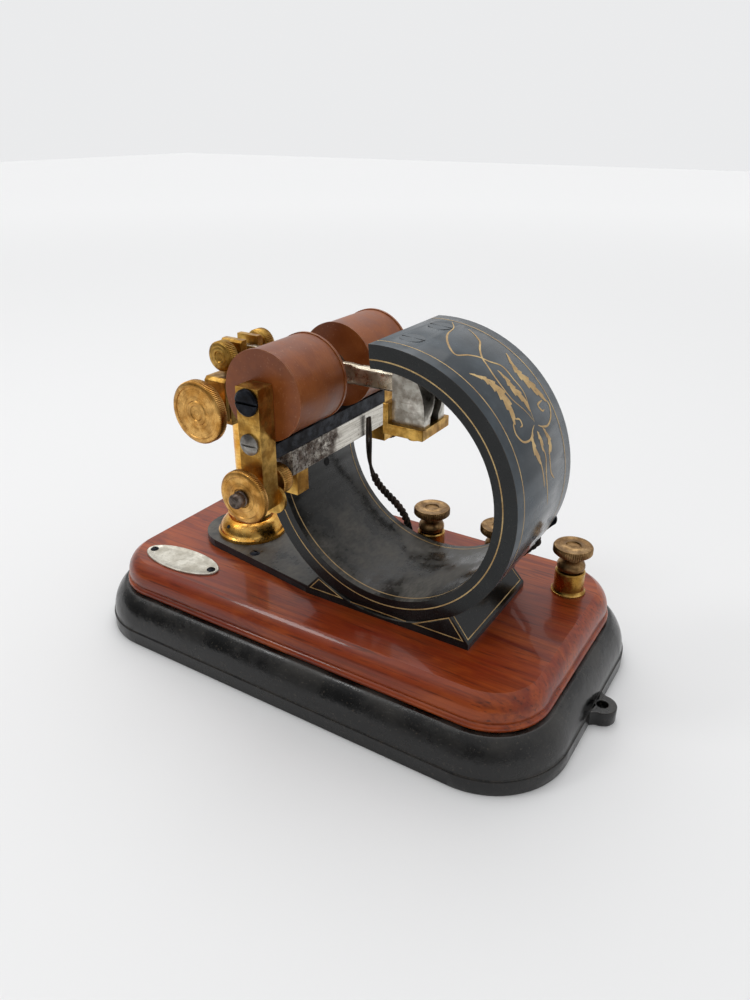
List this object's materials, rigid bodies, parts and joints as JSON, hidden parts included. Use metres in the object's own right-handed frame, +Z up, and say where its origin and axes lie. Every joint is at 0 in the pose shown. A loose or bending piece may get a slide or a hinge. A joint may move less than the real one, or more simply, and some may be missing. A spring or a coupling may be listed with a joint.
{
  "type": "telegraph sounder",
  "caption": "Polarised telegraph sounder: open ring magnet, twin coils, swinging armature and contact screws on a moulded wood and iron base.",
  "frame": {"origin": "on the floor under the middle of the iron base", "axes": "+X along the base's long side, away from the coils' end; +Y towards the binding posts; +Z up"},
  "size_m": [0.2576, 0.1386, 0.1556],
  "materials": {
    "japanned_iron": "gloss black japanning over cast iron, worn at the edges",
    "mahogany": "polished red mahogany",
    "black_enamel": "gloss black enamel with gold lining",
    "brass": "lacquered brass, turned",
    "worn_brass": "dull brown brass with knurled rims",
    "bright_steel": "bright ground steel",
    "rusted_iron": "bright iron, speckled with rust",
    "dark_steel": "blued and blackened steel",
    "coil_wrap": "smooth brown varnished wrapping",
    "fibre": "dark red vulcanised fibre",
    "nickel_plate": "dull nickel silver",
    "cloth_wire": "dark cotton-covered wire"
  },
  "bodies": {
    "base": {"base_screws": "dark_steel", "cheek_front": "bright_steel", "cheek_rear": "bright_steel", "coil_leads": "cloth_wire", "earth_lug": "dark_steel", "earth_screw": "dark_steel", "earth_wire": "cloth_wire", "foot_screws": "dark_steel", "guide_block": "brass", "iron_base": "japanned_iron", "laced_bundle": "cloth_wire", "magnet_bolts": "dark_steel", "magnet_foot": "black_enamel", "magnet_ring": "black_enamel", "name_plate": "nickel_plate", "name_plate_screws": "dark_steel", "pillar": "brass", "pillar_foot": "brass", "pivot_screw": "brass", "pivot_strap": "brass", "pole_screws": "black_enamel", "slide_bed": "brass", "strap_screws": "dark_steel", "terminal_bodies": "brass", "upper_bearing": "brass", "wood_base": "mahogany", "yoke_bar": "rusted_iron"},
    "armature": {"armature_tongue": "bright_steel", "armature_arbor": "bright_steel", "contact_pin": "bright_steel"},
    "electromagnet": {"bobbin_front": "coil_wrap", "bobbin_rear": "coil_wrap", "winding_front": "coil_wrap", "winding_rear": "coil_wrap", "core_front": "bright_steel", "core_rear": "bright_steel", "core_screws": "dark_steel", "post_screws": "bright_steel", "end_post_front": "brass", "end_post_rear": "brass", "slide_bar": "dark_steel", "post_boss": "brass", "rear_disc": "fibre"},
    "adjuster": {"adjust_wheel": "brass", "adjust_stub": "dark_steel", "adjust_screw": "bright_steel", "adjust_collar": "brass"},
    "contact_carriage": {"carriage": "brass"},
    "bias_adjuster": {"bias_wheel": "brass", "bias_screw": "brass"},
    "front_contact": {"contact_screw_front": "brass"},
    "front_contact_knob": {"contact_head_front": "brass"},
    "rear_contact": {"contact_screw_rear": "brass"},
    "rear_contact_knob": {"contact_head_rear": "brass"},
    "terminal_1_screw": {"clamp_screw_1": "worn_brass"},
    "terminal_1_knob": {"clamp_head_1": "worn_brass"},
    "terminal_2_screw": {"clamp_screw_2": "worn_brass"},
    "terminal_2_knob": {"clamp_head_2": "worn_brass"},
    "terminal_3_screw": {"clamp_screw_3": "worn_brass"},
    "terminal_3_knob": {"clamp_head_3": "worn_brass"}
  },
  "joints": [
    {"name": "armature_swing", "type": "hinge", "parent": "base", "child": "armature", "pos_m": [0.031, -0.0045, 0.13], "axis": [0, 0, 1], "range_deg": [-0.24, 0.24]},
    {"name": "electromagnet_slide", "type": "slide", "parent": "base", "child": "electromagnet", "axis": [0, 1, 0], "range_m": [-0.0006, 0.0006]},
    {"name": "adjuster_turn", "type": "hinge", "parent": "electromagnet", "child": "adjuster", "pos_m": [-0.0145, -0.06, 0.094], "axis": [0, 1, 0], "range_deg": [-216.5, 216.5]},
    {"name": "carriage_slide", "type": "slide", "parent": "base", "child": "contact_carriage", "axis": [0, 1, 0], "range_m": [-0.0004, 0.0004]},
    {"name": "bias_turn", "type": "hinge", "parent": "contact_carriage", "child": "bias_adjuster", "pos_m": [-0.06, -0.035, 0.1134], "axis": [0, 1, 0], "range_deg": [-180.5, 180.5]},
    {"name": "front_contact_travel", "type": "slide", "parent": "contact_carriage", "child": "front_contact", "axis": [0, -1, 0], "range_m": [0, 0.003]},
    {"name": "front_contact_turn", "type": "hinge", "parent": "front_contact", "child": "front_contact_knob", "pos_m": [-0.06, -0.01, 0.1345], "axis": [0, -1, 0], "range_deg": [0, 1441]},
    {"name": "rear_contact_travel", "type": "slide", "parent": "contact_carriage", "child": "rear_contact", "axis": [0, 1, 0], "range_m": [0, 0.003]},
    {"name": "rear_contact_turn", "type": "hinge", "parent": "rear_contact", "child": "rear_contact_knob", "pos_m": [-0.06, 0.001, 0.1345], "axis": [0, 1, 0], "range_deg": [0, 1441]},
    {"name": "terminal_1_travel", "type": "slide", "parent": "base", "child": "terminal_1_screw", "axis": [0, 0, 1], "range_m": [0, 0.004]},
    {"name": "terminal_1_turn", "type": "hinge", "parent": "terminal_1_screw", "child": "terminal_1_knob", "pos_m": [0.0217, 0.032, 0.05], "axis": [0, 0, 1], "range_deg": [0, 1441]},
    {"name": "terminal_2_travel", "type": "slide", "parent": "base", "child": "terminal_2_screw", "axis": [0, 0, 1], "range_m": [0, 0.004]},
    {"name": "terminal_2_turn", "type": "hinge", "parent": "terminal_2_screw", "child": "terminal_2_knob", "pos_m": [0.0572, 0.032, 0.05], "axis": [0, 0, 1], "range_deg": [0, 1441]},
    {"name": "terminal_3_travel", "type": "slide", "parent": "base", "child": "terminal_3_screw", "axis": [0, 0, 1], "range_m": [0, 0.004]},
    {"name": "terminal_3_turn", "type": "hinge", "parent": "terminal_3_screw", "child": "terminal_3_knob", "pos_m": [0.0927, 0.032, 0.05], "axis": [0, 0, 1], "range_deg": [0, 1441]}
  ],
  "couplings": [
    {"joint": "adjuster_turn", "follows": "electromagnet_slide", "rad_per_m": 6283.2},
    {"joint": "bias_turn", "follows": "carriage_slide", "rad_per_m": 7854},
    {"joint": "front_contact_turn", "follows": "front_contact_travel", "rad_per_m": 8377.6},
    {"joint": "rear_contact_turn", "follows": "rear_contact_travel", "rad_per_m": 8377.6},
    {"joint": "terminal_1_turn", "follows": "terminal_1_travel", "rad_per_m": 6283.2},
    {"joint": "terminal_2_turn", "follows": "terminal_2_travel", "rad_per_m": 6283.2},
    {"joint": "terminal_3_turn", "follows": "terminal_3_travel", "rad_per_m": 6283.2}
  ]
}
